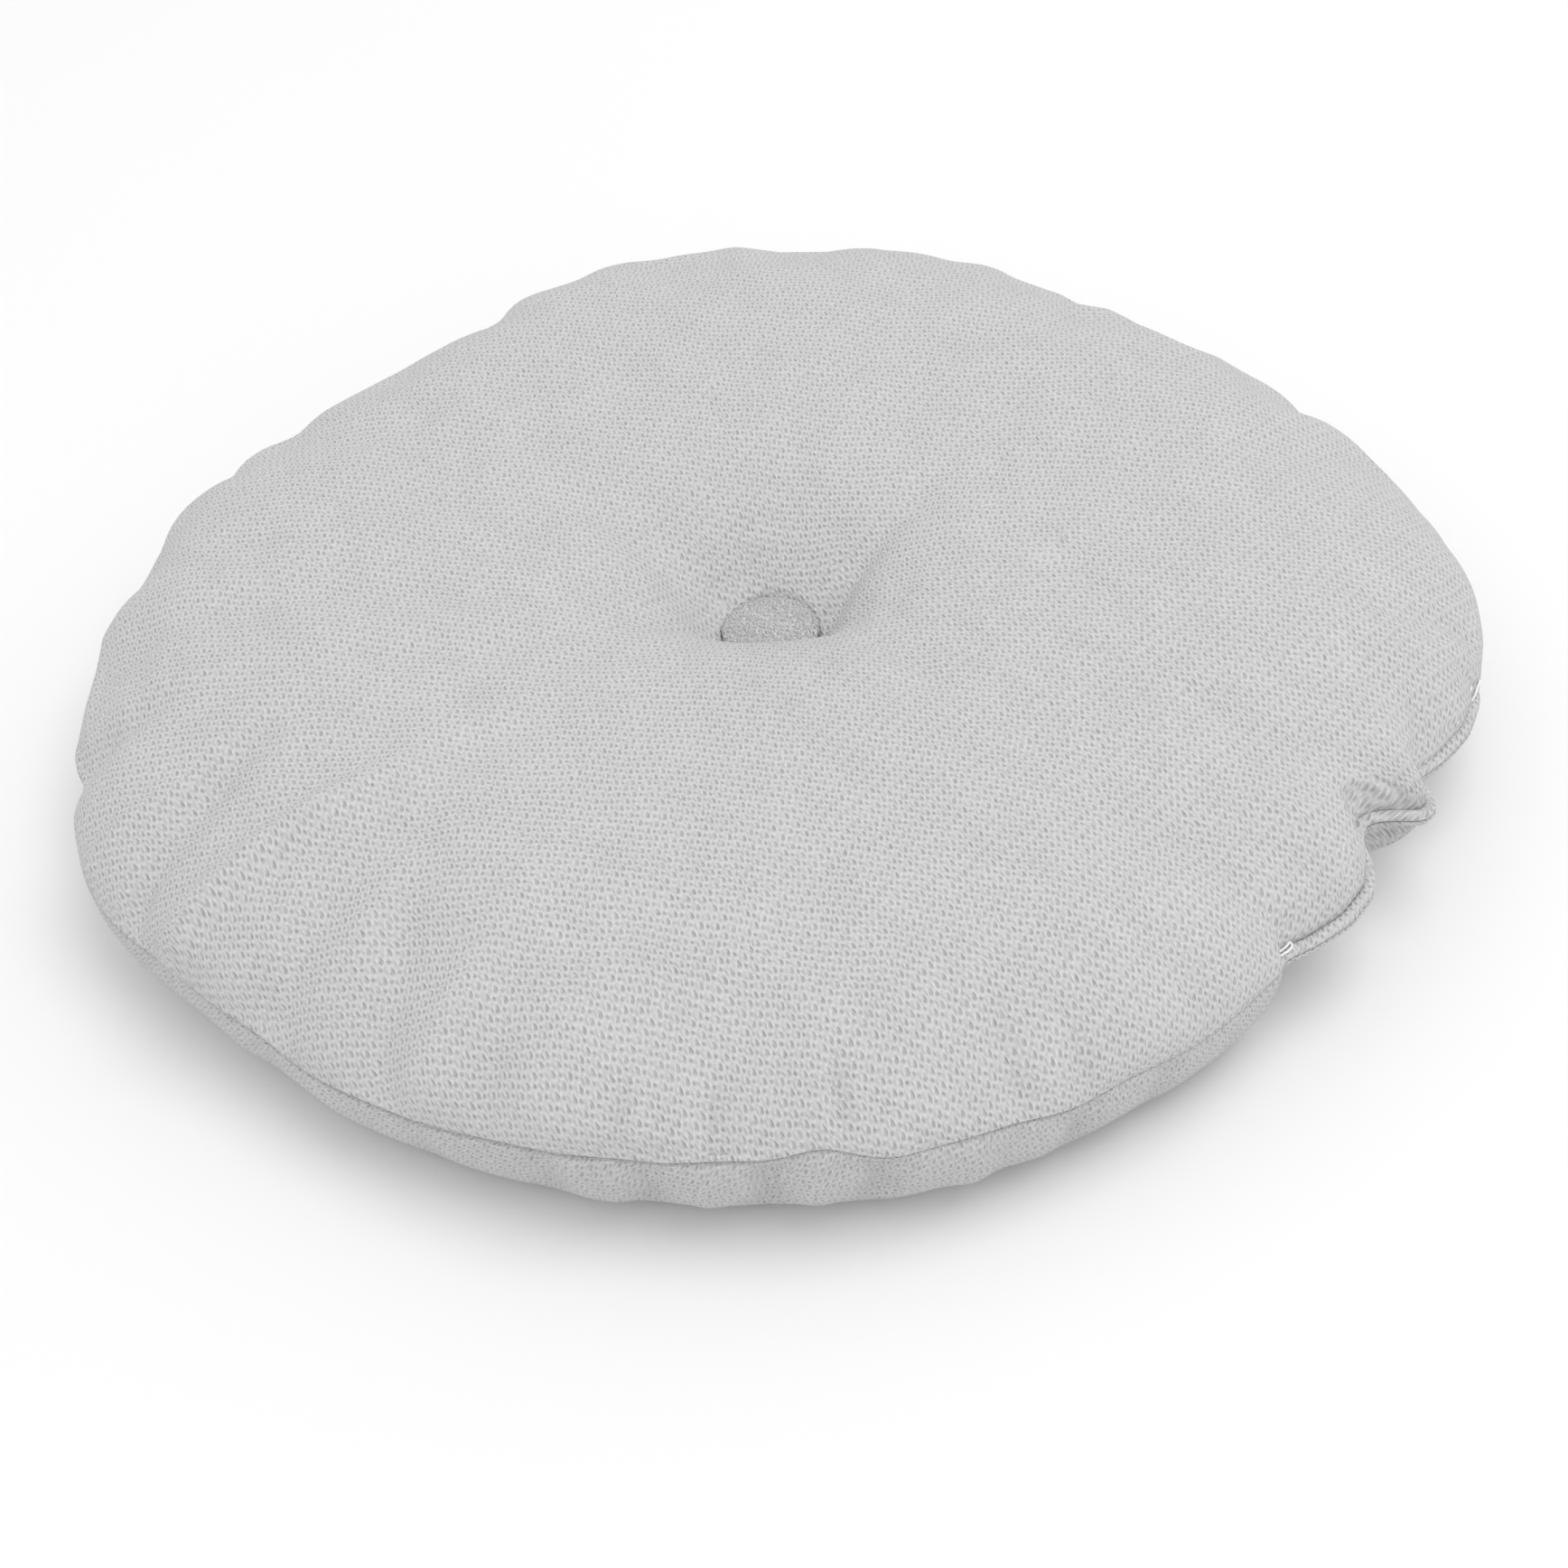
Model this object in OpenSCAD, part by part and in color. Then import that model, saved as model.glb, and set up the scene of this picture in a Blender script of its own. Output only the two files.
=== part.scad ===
// Round button-tufted seat cushion. Two round fabric panels are sewn together at the rim,
// turned and stuffed through an opening in the seam, which is then closed from outside by a
// row of edge stitching. A covered button on each face is drawn in by one loop of twine.
// Millimetres, +Z up. The origin is the centre of the face that the cushion lies on.

/* [Cushion] */
// Diameter over the rim seam
cushion_d = 396; // [380:1:420]
// Height of the crown above the face it lies on
cushion_h = 62; // [58:0.5:68]
// Diameter of the ring where the top face stands highest
crown_d = 224; // [200:1:240]
// Height of the rim seam
seam_z = 30; // [28:0.5:32]
// Outer diameter of the ring that the cushion lies on
foot_outer_d = 344; // [320:1:350]
// Inner diameter of the ring that the cushion lies on
foot_inner_d = 140; // [120:1:180]
// How sharply both faces turn in around the buttons
dimple_power = 4; // [3:0.1:4.5]

/* [Fabric and sewing] */
// Thickness of the cover fabric
fabric_t = 1.2; // [0.8:0.1:1.5]
// Width of the seam allowance turned inside
allowance_w = 10; // [6:0.5:12]
// How far the stitched lip of the closure stands out from the rim
lip_w = 4.5; // [3:0.5:5]
// Thickness of each panel's folded edge in the lip
lip_t = 1.8; // [1.4:0.1:2.4]
// Direction of the closure's front end, in degrees from +X
closure_from = -50; // [-60:1:-40]
// Angle that the closure covers
closure_span = 36; // [20:1:40]
// Distance of the edge stitching from the edge of the lip
edge_stitch = 3.2; // [2:0.1:3.5]
// Diameter of the sewing thread
thread_d = 0.5; // [0.3:0.1:0.6]

/* [Buttons and twine] */
// Diameter of each covered button
button_d = 28.6; // [24:0.2:32]
// Height of each covered button
button_h = 5.6; // [5.4:0.1:7.5]
// Height of the fabric under the top button
top_seat_z = 35; // [33:0.5:38]
// Height of the fabric under the bottom button
bottom_seat_z = 13; // [11:0.5:14]
// Thickness of the button's fabric, stretched over its shell
button_fabric_t = 0.9; // [0.6:0.1:1]
// Thickness of the button's metal parts
button_metal_t = 0.5; // [0.4:0.05:0.6]
// Diameter of the eye's wire
wire_d = 1.2; // [1:0.1:1.4]
// Radius of the eye's loop, to the middle of its wire
eye_r = 3.2; // [3:0.1:3.6]
// Diameter of the tufting twine
twine_d = 1.4; // [1:0.1:1.6]

/* [Hidden] */
$fn = 96;

fabric_colour = [0.80, 0.80, 0.79];
fibre_colour = [0.95, 0.95, 0.93];
thread_colour = [0.72, 0.72, 0.71];
tack_colour = [0.97, 0.97, 0.95];
metal_colour = [0.70, 0.71, 0.73];
twine_colour = [0.88, 0.87, 0.84];

// Free space between a soft piece and its neighbour on another body
soft_gap = 0.3;
// Free space between two pieces that are fixed together
fixed_gap = 0.05;

rim_r = cushion_d / 2;
crown_r = crown_d / 2;
foot_outer_r = foot_outer_d / 2;
foot_inner_r = foot_inner_d / 2;
seat_r = button_d / 2;
// Edges of the two panels at the seam, which lie on either side of the seam plane
top_edge_z = seam_z + soft_gap / 2;
bottom_edge_z = seam_z - soft_gap / 2;
// Hole in each panel that the button's eye is drawn into
eye_hole_r = eye_r + wire_d / 2 + 0.6;
// Number of straight steps in each curve of the two outlines
curve_steps = 22;

// The seam line runs just inside the rim, and the edge stitching on the lip outside it
lip_r = rim_r + lip_w;
seam_stitch_r = rim_r - fabric_t - 1.5;
edge_stitch_r = lip_r - edge_stitch;
allowance_r = rim_r - fabric_t - allowance_w;
closure_to = closure_from + closure_span;

// Button, measured up from its back face
button_r = button_d / 2;
button_rim_h = 2.4;
plate_r = button_r - 2.75;
plate_flange_h = 2;
cover_turn_h = 2.5;
eye_leg = 1.6;
foot_l = 3.2;
top_back_z = top_seat_z + soft_gap;
bottom_back_z = bottom_seat_z - soft_gap;

// The twine runs round the wire of both eyes
twine_turn_r = 2.1;
eye_depth = eye_leg + eye_r;
top_turn_z = top_back_z - eye_depth;
bottom_turn_z = bottom_back_z + eye_depth;
knot_r = 1.5;

// Rise from 0 to 1, steep at first and level at the end
function rise(t) = 1 - pow(1 - t, dimple_power);

// Top panel from the eye hole to the seam: seat, dimple, then a quarter ellipse
top_outline = concat(
    [[eye_hole_r, top_seat_z]],
    [for (i = [0 : curve_steps]) let (t = i / curve_steps)
        [seat_r + (crown_r - seat_r) * t,
         top_seat_z + (cushion_h - top_seat_z) * rise(t)]],
    [for (i = [1 : curve_steps]) let (a = 90 * i / curve_steps)
        [crown_r + (rim_r - crown_r) * sin(a),
         top_edge_z + (cushion_h - top_edge_z) * cos(a)]]
);

// Bottom panel from the eye hole to the seam: seat, dimple, flat foot, quarter ellipse
bottom_outline = concat(
    [[eye_hole_r, bottom_seat_z]],
    [for (i = [0 : curve_steps]) let (t = i / curve_steps)
        [seat_r + (foot_inner_r - seat_r) * t, bottom_seat_z * (1 - rise(t))]],
    [for (i = [0 : curve_steps]) let (a = 90 * i / curve_steps)
        [foot_outer_r + (rim_r - foot_outer_r) * sin(a), bottom_edge_z * (1 - cos(a))]]
);

// Direction of an outline at point i. Both outlines start level and end upright.
function heading(line, i) =
    let (last = len(line) - 1)
    i == 0 ? [1, 0] :
    i == last ? [0, sign(line[last][1] - line[last - 1][1])] :
    let (step = line[i + 1] - line[i - 1]) step / norm(step);

// The outline moved sideways by distance, to its right where distance is positive
function moved(line, distance) =
    [for (i = [0 : len(line) - 1]) let (h = heading(line, i))
        line[i] + distance * [h[1], -h[0]]];

function reversed(line) = [for (i = [len(line) - 1 : -1 : 0]) line[i]];

// Section of a panel: fabric that follows an outline, and its seam allowance turned inside
module panel_section(line, thickness, allowance_z) {
    polygon(concat(line, reversed(moved(line, thickness))));
    translate([allowance_r, allowance_z])
        square([rim_r - fabric_t / 2 - allowance_r, fabric_t]);
}

// Folded edge of a panel that stands out from the rim along the closure
module lip(low) {
    inner_r = rim_r - fabric_t / 2;
    rotate([0, 0, closure_from])
        rotate_extrude(angle = closure_span)
            translate([inner_r, low])
                square([lip_r - inner_r, lip_t]);
}

// Thread laid along part of the rim
module laid_thread(radius, height, from, span) {
    rotate([0, 0, from])
        rotate_extrude(angle = span)
            translate([radius, height])
                circle(d = thread_d, $fn = 16);
}

module bottom_panel() {
    color(fabric_colour) {
        rotate_extrude()
            panel_section(bottom_outline, -fabric_t, bottom_edge_z - fabric_t);
        lip(bottom_edge_z - lip_t);
    }
}

module top_panel() {
    color(fabric_colour) {
        rotate_extrude()
            panel_section(top_outline, fabric_t, top_edge_z);
        lip(top_edge_z);
    }
}

// Fibre filling inside both panels, open for the twine, with room for the seam allowances
module filling() {
    inset = fabric_t + soft_gap;
    seam_room = fabric_t + thread_d + 2 * soft_gap;
    color(fibre_colour)
        difference() {
            rotate_extrude()
                polygon(concat(
                    moved(top_outline, inset),
                    reversed(moved(bottom_outline, -inset))
                ));
            rotate_extrude()
                translate([allowance_r - soft_gap, seam_z - seam_room])
                    square([allowance_w + fabric_t, 2 * seam_room]);
        }
}

module rim_needle_thread() {
    color(thread_colour)
        laid_thread(seam_stitch_r, top_edge_z + fabric_t + thread_d / 2 + fixed_gap,
            closure_to, 360 - closure_span);
}

module rim_bobbin_thread() {
    color(thread_colour)
        laid_thread(seam_stitch_r, bottom_edge_z - fabric_t - thread_d / 2 - fixed_gap,
            closure_to, 360 - closure_span);
}

module closure_needle_thread() {
    color(thread_colour)
        laid_thread(edge_stitch_r, top_edge_z + lip_t + thread_d / 2 + fixed_gap,
            closure_from, closure_span);
}

module closure_bobbin_thread() {
    color(thread_colour)
        laid_thread(edge_stitch_r, bottom_edge_z - lip_t - thread_d / 2 - fixed_gap,
            closure_from, closure_span);
}

// A loop of thread that lies along the rim at one end of the closure
module tack_thread(direction) {
    loop_r = 1.4;
    loop_l = 3;
    rotate([0, 0, direction])
        translate([rim_r + thread_d, 0, seam_z])
            rotate([0, 90, 0]) {
                for (side = [-1, 1])
                    translate([side * loop_r, 0, 0])
                        rotate([90, 0, 0])
                            cylinder(h = loop_l, d = thread_d, center = true, $fn = 16);
                for (turn = [0, 180])
                    rotate([0, 0, turn])
                        translate([0, loop_l / 2, 0])
                            rotate_extrude(angle = 180)
                                translate([loop_r, 0])
                                    circle(d = thread_d, $fn = 16);
            }
}

module front_tack_thread() {
    color(tack_colour)
        tack_thread(closure_from - 1);
}

module rear_tack_thread() {
    color(tack_colour)
        tack_thread(closure_to + 1);
}

// Half section of the solid button, drawn in from its outside by inset
module button_section(inset) {
    dome_h = button_h - button_rim_h;
    turn_r = button_rim_h - inset;
    polygon(concat(
        [[0, inset]],
        [for (a = [-90 : 15 : -15])
            [button_r - button_rim_h + turn_r * cos(a), button_rim_h + turn_r * sin(a)]],
        [for (a = [0 : 6 : 84])
            [(button_r - inset) * cos(a), button_rim_h + (dome_h - inset) * sin(a)]],
        [[0, button_h - inset]]
    ));
}

// Fabric over the dome, drawn round the rim and turned up behind the back plate
module button_cover() {
    opening_r = plate_r + fixed_gap;
    color(fabric_colour)
        rotate_extrude()
            difference() {
                button_section(0);
                difference() {
                    button_section(button_fabric_t);
                    translate([opening_r, 0])
                        square([button_fabric_t, cover_turn_h]);
                }
                translate([0, -1])
                    square([opening_r, 1 + cover_turn_h]);
            }
}

// Pressed metal dome under the fabric
module button_shell() {
    shell_inset = button_fabric_t + fixed_gap;
    color(metal_colour)
        rotate_extrude()
            difference() {
                button_section(shell_inset);
                button_section(shell_inset + button_metal_t);
                square([button_r, button_rim_h]);
            }
}

// Back plate with an upturned flange, and two holes for the eye's legs
module button_back() {
    color(metal_colour)
        difference() {
            union() {
                cylinder(h = button_metal_t, r = plate_r);
                difference() {
                    cylinder(h = plate_flange_h, r = plate_r);
                    translate([0, 0, -1])
                        cylinder(h = plate_flange_h + 2, r = plate_r - button_metal_t);
                }
            }
            for (side = [-1, 1])
                translate([side * eye_r, 0, -1])
                    cylinder(h = button_metal_t + 2, d = wire_d + 2 * fixed_gap);
        }
}

// Wire eye: a loop behind the button whose feet turn out inside it
module button_eye() {
    foot_z = button_metal_t + wire_d / 2 + fixed_gap;
    color(metal_colour) {
        translate([0, 0, -eye_leg])
            rotate([90, 0, 0])
                rotate([0, 0, 180])
                    rotate_extrude(angle = 180)
                        translate([eye_r, 0])
                            circle(d = wire_d, $fn = 24);
        for (side = [-1, 1])
            translate([side * eye_r, 0, 0]) {
                translate([0, 0, -eye_leg])
                    cylinder(h = eye_leg + foot_z, d = wire_d, $fn = 24);
                translate([0, 0, foot_z])
                    sphere(d = wire_d, $fn = 24);
                translate([0, 0, foot_z])
                    rotate([0, 90 * side, 0])
                        cylinder(h = foot_l, d = wire_d, $fn = 24);
            }
    }
}

// Places of the two buttons: the bottom one is the mirror image of the top one
module on_top() {
    translate([0, 0, top_back_z])
        children();
}

module underneath() {
    translate([0, 0, bottom_back_z])
        mirror([0, 0, 1])
            children();
}

module top_button_cover() {
    on_top()
        button_cover();
}

module top_button_shell() {
    on_top()
        button_shell();
}

module top_button_back() {
    on_top()
        button_back();
}

module top_button_eye() {
    on_top()
        button_eye();
}

module bottom_button_cover() {
    underneath()
        button_cover();
}

module bottom_button_shell() {
    underneath()
        button_shell();
}

module bottom_button_back() {
    underneath()
        button_back();
}

module bottom_button_eye() {
    underneath()
        button_eye();
}

// One loop of twine through both eyes, tied in a knot on one of its two strands
module tufting_twine() {
    strand_l = top_turn_z - bottom_turn_z;
    color(twine_colour) {
        for (side = [-1, 1])
            translate([0, side * twine_turn_r, bottom_turn_z])
                cylinder(h = strand_l, d = twine_d, $fn = 24);
        for (turn = [[top_turn_z, 0], [bottom_turn_z, 180]])
            translate([0, 0, turn[0]])
                rotate([turn[1], 0, 0])
                    rotate([90, 0, 90])
                        rotate_extrude(angle = 180)
                            translate([twine_turn_r, 0])
                                circle(d = twine_d, $fn = 24);
        translate([0, twine_turn_r, (top_turn_z + bottom_turn_z) / 2])
            sphere(r = knot_r, $fn = 32);
    }
}

bottom_panel();
top_panel();
filling();
rim_needle_thread();
rim_bobbin_thread();
closure_needle_thread();
closure_bobbin_thread();
front_tack_thread();
rear_tack_thread();
top_button_cover();
top_button_shell();
top_button_back();
top_button_eye();
bottom_button_cover();
bottom_button_shell();
bottom_button_back();
bottom_button_eye();
tufting_twine();
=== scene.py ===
import math

import bpy
import numpy as np
from mathutils import Matrix, Vector


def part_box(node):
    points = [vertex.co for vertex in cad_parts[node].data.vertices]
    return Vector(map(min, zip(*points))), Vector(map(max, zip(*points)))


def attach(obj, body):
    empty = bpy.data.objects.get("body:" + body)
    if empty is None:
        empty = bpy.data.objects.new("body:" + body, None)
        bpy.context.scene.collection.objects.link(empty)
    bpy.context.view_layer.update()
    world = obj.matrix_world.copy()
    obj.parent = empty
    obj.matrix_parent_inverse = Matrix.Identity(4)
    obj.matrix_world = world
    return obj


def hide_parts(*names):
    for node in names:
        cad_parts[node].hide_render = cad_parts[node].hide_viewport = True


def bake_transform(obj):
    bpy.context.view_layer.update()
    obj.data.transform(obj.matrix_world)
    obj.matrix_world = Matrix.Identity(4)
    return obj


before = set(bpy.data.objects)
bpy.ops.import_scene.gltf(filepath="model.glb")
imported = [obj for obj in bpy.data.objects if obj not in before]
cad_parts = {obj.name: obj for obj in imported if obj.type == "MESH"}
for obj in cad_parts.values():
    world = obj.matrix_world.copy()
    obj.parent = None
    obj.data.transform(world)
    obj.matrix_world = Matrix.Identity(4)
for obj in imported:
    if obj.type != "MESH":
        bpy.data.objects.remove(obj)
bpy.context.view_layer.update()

# A round cushion of two woven panels, sewn at the rim and tufted with a covered button.
# Shapes are worked out in millimetres in the part's own frame: +Z up, the front towards -Y.

MM = 0.001


# ---------------------------------------------------------------- camera

def aim(elevation, distance, roll, tilt, pan, offset, target_z):
    """Camera axes and place for a view from the front, in metres and degrees."""
    e, r, t, p = (math.radians(v) for v in (elevation, roll, tilt, pan))
    right = Vector((1, 0, 0))
    back = Vector((0, -math.cos(e), math.sin(e)))
    up = Vector((0, math.sin(e), math.cos(e)))
    place = Vector((offset[0], offset[1], target_z)) + back * distance
    back, up = back * math.cos(t) + up * math.sin(t), up * math.cos(t) - back * math.sin(t)
    back, right = back * math.cos(p) - right * math.sin(p), right * math.cos(p) + back * math.sin(p)
    right, up = right * math.cos(r) - up * math.sin(r), right * math.sin(r) + up * math.cos(r)
    turn = Matrix((right, up, back)).transposed().to_4x4()
    return Matrix.Translation(place) @ turn


lens = bpy.data.cameras.new("camera")
lens.sensor_width = 36
lens.lens = 70.28
lens.clip_start = 0.01
camera = bpy.data.objects.new("camera", lens)
bpy.context.scene.collection.objects.link(camera)
camera.matrix_world = aim(39.7, 0.9, 5.38, 2.44, 0.125, (-0.0023, -0.0026), 0.030)
bpy.context.scene.camera = camera


# ---------------------------------------------------------------- small tools

def ease(low, high, x):
    """0 below low, 1 above high, smooth between."""
    t = np.clip((x - low) / (high - low), 0, 1)
    return t * t * (3 - 2 * t)


def turn_between(azimuth, centre):
    """Difference of two directions in degrees, from -180 to 180."""
    return (azimuth - centre + 180) % 360 - 180


def hump(azimuth, centre, width):
    """1 at centre, falling away on both sides over width degrees."""
    return np.exp(-(turn_between(azimuth, centre) / width) ** 2)


def softly_positive(x, softness):
    return np.log1p(np.exp(np.clip(x / softness, -40, 40))) * softness


# ---------------------------------------------------------------- sizes from the frame

top_low, top_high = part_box("top_panel")
button_low, button_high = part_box("top_button_cover")
lower_button_low, lower_button_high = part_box("bottom_button_cover")
CROWN_Z = top_high.z / MM
BUTTON_R = (button_high.x - button_low.x) / 2 / MM
BUTTON_H = (button_high.z - button_low.z) / MM
TOP_BACK_Z = button_low.z / MM
BOTTOM_BACK_Z = lower_button_high.z / MM
# Where each cover lies under its button, the seam's height, and the radii at which the top
# and the underside turn into the side. RIM_R is the outline before its bulges
TOP_SEAT_Z = 35.0
BOTTOM_SEAT_Z = 13.0
SEAM_Z = 30.0
CROWN_R = 112.0
FOOT_R = 175.0
RIM_R = 199.8
FABRIC_T = 1.2
# The hole in each cover that the button's wire eye is drawn into, and the small dip round it
EYE_HOLE_R = 4.9
EYE_DIP_R = 8.5
# The top cover's swell against the button's edge: height, and how far out it reaches
WELT_H = 1.0
WELT_W = 6.0

# Bulges and flats of the outline: direction in degrees, millimetres, width in degrees
OUTLINE = [
    (-8, 7.6, 14), (43, -12.5, 27), (87, 5, 38), (132, -15, 18), (143, 4.4, 15), (181, 1.8, 5),
    (206, 10.5, 19), (217, -8, 12), (280, 3, 30), (322, -9, 24.5),
]
# Small nicks where the seam puckers and breaks the outline
NICKS = [
    (16, 0.9, 3), (22.5, -1.9, 3), (46, -1, 3), (56.5, 1.4, 2.2), (61, -2.4, 2.2), (71, 0.9, 3),
    (80, 2.2, 6), (95, -1.9, 6), (108, -3, 4), (116, -1.5, 2), (136.5, 1.4, 3.5), (143, -2.6, 2.8),
    (150, -1.2, 2.4), (156, 0.9, 3), (163, -1.6, 3), (186.2, 1.3, 2.2), (189.5, -2.1, 2.4),
    (219, 1.6, 3.5), (251, 1.5, 4), (274, 1.3, 4), (293, -1.8, 3.5),
]
# The seam rides up and down a little round the rim
SEAM_WAVES = [
    (-93, 5, 17), (-90, 3.2, 2.4), (-85, -1.3, 2.2), (-76, 1.1, 2.6), (-101, -1.8, 3),
    (-110, 1.3, 4), (-128, -2.5, 8), (-31, 5.2, 4.5), (60, 1.5, 20), (150, -2, 25),
]
# How deep the seam's groove is in mm, and where it closes: direction, share, width in degrees
GROOVE_OPEN = 0.95
GROOVE_SHUT = [(-61, 0.85, 9), (-83, 0.45, 4), (90, 0.3, 40), (-155, 0.6, 14)]

# Edge of the stitched closure: direction in degrees and radius, from the front tack to the rear
CLOSURE = [
    (-50, 191.5), (-47, 194.5), (-43, 197.5), (-39.5, 197), (-37, 192.5), (-35.2, 186.5),
    (-33.5, 185), (-32.4, 190), (-31.7, 199), (-30, 200.8), (-28, 197.5), (-26, 192),
    (-23, 196.8), (-19, 202), (-14, 204.5),
]
CLOSURE_FROM = CLOSURE[0][0]
CLOSURE_TO = CLOSURE[-1][0]
# How far the edge stitching lies inside the folded edge, and the room left for its thread
EDGE_STITCH = 3.6
EDGE_GAP = 0.4
# Where the fabric above the closure swells out over its lip: direction, millimetres, width
SWELLS = [(-36, 1.3, 1.9), (-25, 1.7, 3.4), (-17, 1.2, 4)]


def rim_outline(azimuth):
    """Radius of the rim without its closure."""
    return RIM_R + sum(h * hump(azimuth, a, w) for a, h, w in OUTLINE + NICKS)


def closure_share(azimuth):
    """1 inside the closure, 0 outside it."""
    a = turn_between(azimuth, 0)
    return ease(CLOSURE_FROM - 1, CLOSURE_FROM + 1, a) * (1 - ease(CLOSURE_TO - 1, CLOSURE_TO + 1, a))


def edge_radius(azimuth):
    """Radius of the outermost edge of the rim: the closure's folded edge, its corners
    rounded, and the fabric's bulge elsewhere."""
    step = 0.05
    fine = np.arange(-180, 180, step)
    share = closure_share(fine)
    way = np.interp(fine, *zip(*CLOSURE)) * share + rim_outline(fine) * (1 - share)
    spread = np.exp(-(np.arange(-60, 61) * step / 0.55) ** 2)
    way = np.convolve(np.pad(way, 60, mode="wrap"), spread / spread.sum(), mode="valid")
    return np.interp(turn_between(azimuth, 0), fine, way, period=360)


def seam_height(azimuth):
    z = SEAM_Z + sum(h * hump(azimuth, a, w) for a, h, w in SEAM_WAVES)
    a = np.radians(azimuth)
    return z + 0.35 * np.sin(17 * a + 1) + 0.25 * np.sin(29 * a + 2.2)


# ---------------------------------------------------------------- columns of the two covers

def columns(count):
    """Directions round the cushion in degrees, closer together where the closure folds."""
    fine = np.linspace(-180, 180, 7201)
    weight = 1 + 4 * ease(-57, -53, fine) * (1 - ease(-12, -8, fine))
    weight += 14 * ease(-35, -33.5, fine) * (1 - ease(-31.5, -30, fine))
    total = np.concatenate([[0], np.cumsum((weight[1:] + weight[:-1]) / 2)])
    return np.interp(np.arange(count) / count * total[-1], total, fine)


AZIMUTH = columns(680)
DIRECTION = np.stack([np.cos(np.radians(AZIMUTH)), np.sin(np.radians(AZIMUTH))], axis=-1)
SHARE = closure_share(AZIMUTH)
SEAM = seam_height(AZIMUTH)
EDGE = edge_radius(AZIMUTH)[:, None] * DIRECTION


def averaged(values, path, softness):
    """Vectors held by the points of a closed path, each averaged over softness mm of the path."""
    step = np.linalg.norm(path - np.roll(path, 1, axis=0), axis=1)
    place = np.cumsum(step)
    apart = np.abs(place[:, None] - place[None])
    apart = np.minimum(apart, place[-1] - apart)
    share = np.exp(-(apart / softness) ** 2) * (step + np.roll(step, -1))
    return share @ values / share.sum(axis=1, keepdims=True)


def plan_normals(path, softness):
    """Outward directions of a closed path seen from above, averaged over softness mm of it."""
    along = np.roll(path, -1, axis=0) - np.roll(path, 1, axis=0)
    along = along / np.linalg.norm(along, axis=1, keepdims=True)
    n = averaged(np.stack([along[:, 1], -along[:, 0]], axis=-1), path, softness)
    return n / np.linalg.norm(n, axis=1, keepdims=True)


OUT = plan_normals(EDGE, 3.2)
GROOVE = GROOVE_OPEN * (1 - np.clip(sum(h * hump(AZIMUTH, a, w) for a, h, w in GROOVE_SHUT), 0, 0.9))
# the stitching line, inside the edge by the groove's depth or by the closure's lip
NECK = EDGE - OUT * (GROOVE * (1 - SHARE) + (EDGE_STITCH + EDGE_GAP) * SHARE)[:, None]
# along parts of the closure the fabric swells over the lip and hides most of it
OVERHANG = 0.6 + sum(h * hump(AZIMUTH, a, w) for a, h, w in SWELLS)
BULGE = EDGE * (1 - SHARE)[:, None] + (NECK + OUT * OVERHANG[:, None]) * SHARE[:, None]
# how far above or below the seam the bulge beside it is widest
BULGE_H = 1.1 + 1.6 * SHARE * np.clip(OVERHANG / 2.4, 0.2, 1)
# How far the underside is drawn in under the closure, and less so under its pocket
TUCK = (28 - 10 * hump(AZIMUTH, -33.5, 4)) * ease(-53, -42, AZIMUTH) * (1 - ease(-24, -10, AZIMUTH))
# Section of the closure's folded edge: share of its width, and height in mm
LIP = [
    (0.0, 0.35), (0.12, 1.15), (0.3, 1.75), (0.52, 1.95), (0.76, 1.8),
    (0.92, 1.4), (1.0, 0.85), (0.99, 0.3), (0.9, 0.06), (0.6, 0.0),
]
# Places across the seam allowance that is turned inside, in mm from the stitching
ALLOWANCE = (2.0, 7.5)

# The lobes of fabric that the button's twine divides: direction, softness of the rise,
# how far the lobe wraps round, and where its rise begins
TOP_LOBES = [(74, 22, 0.73, 11.3), (176, 21, 1.08, 13.2), (266, 11.5, 0.79, 11.1), (351, 14.8, 0.94, 17)]
BOTTOM_LOBES = [
    (20, 16, 1, 12.5), (97, 19, 1, 12.5), (165, 15, 1, 13), (235, 18, 1, 12.5), (305, 17, 1, 13),
]
# How softly two lobes meet, near the button and far out
LOBES_MEET = (0.02, 0.035)


def lobed(r, azimuth, lobes):
    """Rise from 0 at the button to 1 far out, with a crease between each two lobes."""
    near, far = LOBES_MEET
    rises = []
    for centre, softness, wrap, start in lobes:
        off = np.radians(np.clip(np.abs(turn_between(azimuth, centre)) * wrap, 0, 89))
        rises.append(1 - np.exp(-softly_positive(r * np.cos(off) - start, 2.0) / softness))
    blend = near + (far - near) * ease(15, 90, r)
    rises = np.array(rises)
    peak = rises.max(axis=0)
    return np.minimum(peak + blend * np.log(np.exp((rises - peak) / blend).sum(axis=0)), 1.02)


def ripple(x, y, waves):
    """A sum of plane waves: wavelength in mm, direction in degrees, phase, height in mm."""
    total = 0
    for length, direction, phase, height in waves:
        d = math.radians(direction)
        total = total + height * np.sin(2 * math.pi * (x * math.cos(d) + y * math.sin(d)) / length + phase)
    return total


LUMPS = [
    (171, 20, 0.4, 0.7), (133, 75, 2.0, 0.55), (104, 140, 4.4, 0.5), (88, 105, 1.0, 0.35),
    (61, 35, 3.3, 0.28), (47, 160, 5.0, 0.22), (39, 95, 0.7, 0.16), (31, 10, 2.6, 0.12),
]

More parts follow.
